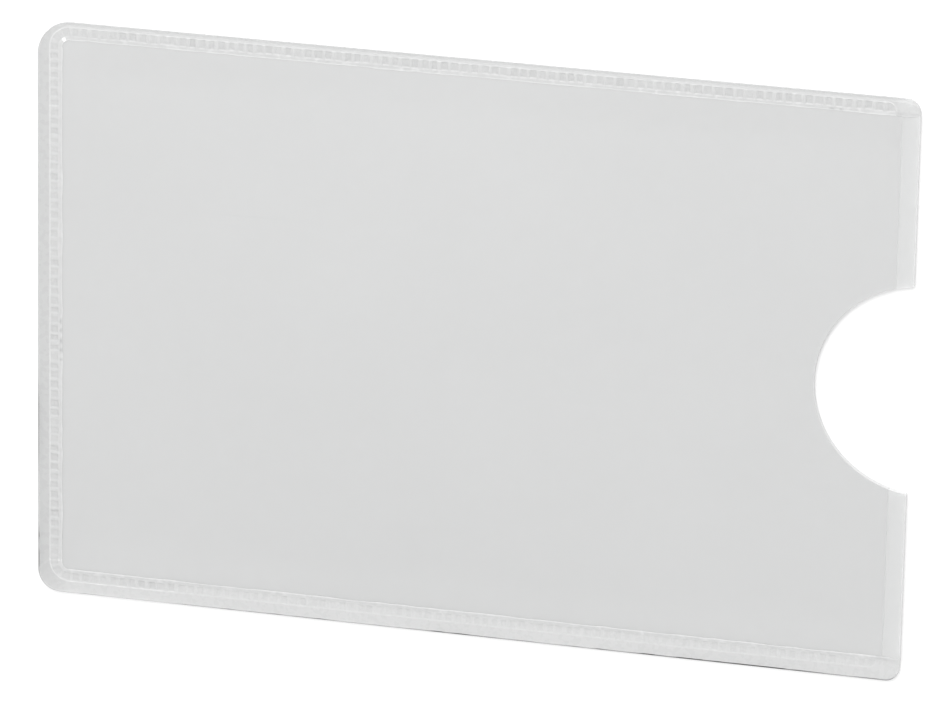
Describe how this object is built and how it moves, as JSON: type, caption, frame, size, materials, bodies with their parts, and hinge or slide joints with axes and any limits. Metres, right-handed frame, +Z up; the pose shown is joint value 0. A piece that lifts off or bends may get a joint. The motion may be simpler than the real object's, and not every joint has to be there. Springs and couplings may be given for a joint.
{
  "type": "rfid card sleeve",
  "caption": "Flat welded card sleeve of clear film with shielding foil in both walls, a ladder-marked weld on its closed sides, and an open mouth with a round thumb notch.",
  "frame": {"origin": "middle of the bounding box of the back face, on the surface that the sleeve lies on", "axes": "+X along the sleeve towards the open mouth, +Y across it, +Z up out of the front wall"},
  "size_m": [0.09, 0.061, 0.0015],
  "materials": {
    "clear_film": "clear gloss film",
    "liner_film": "clear film with a fine matt face",
    "shield_foil": "satin silver-grey foil",
    "weld": "melted film, slightly milky, ladder-marked by the weld tool",
    "seal_strip": "clear sealed strip"
  },
  "bodies": {
    "root": {"front_cover_film": "clear_film", "front_shield_foil": "shield_foil", "front_liner_film": "liner_film", "front_mouth_seal": "seal_strip", "back_liner_film": "liner_film", "back_shield_foil": "shield_foil", "back_mouth_seal": "seal_strip", "back_cover_film": "clear_film", "weld_border": "weld"}
  },
  "joints": []
}
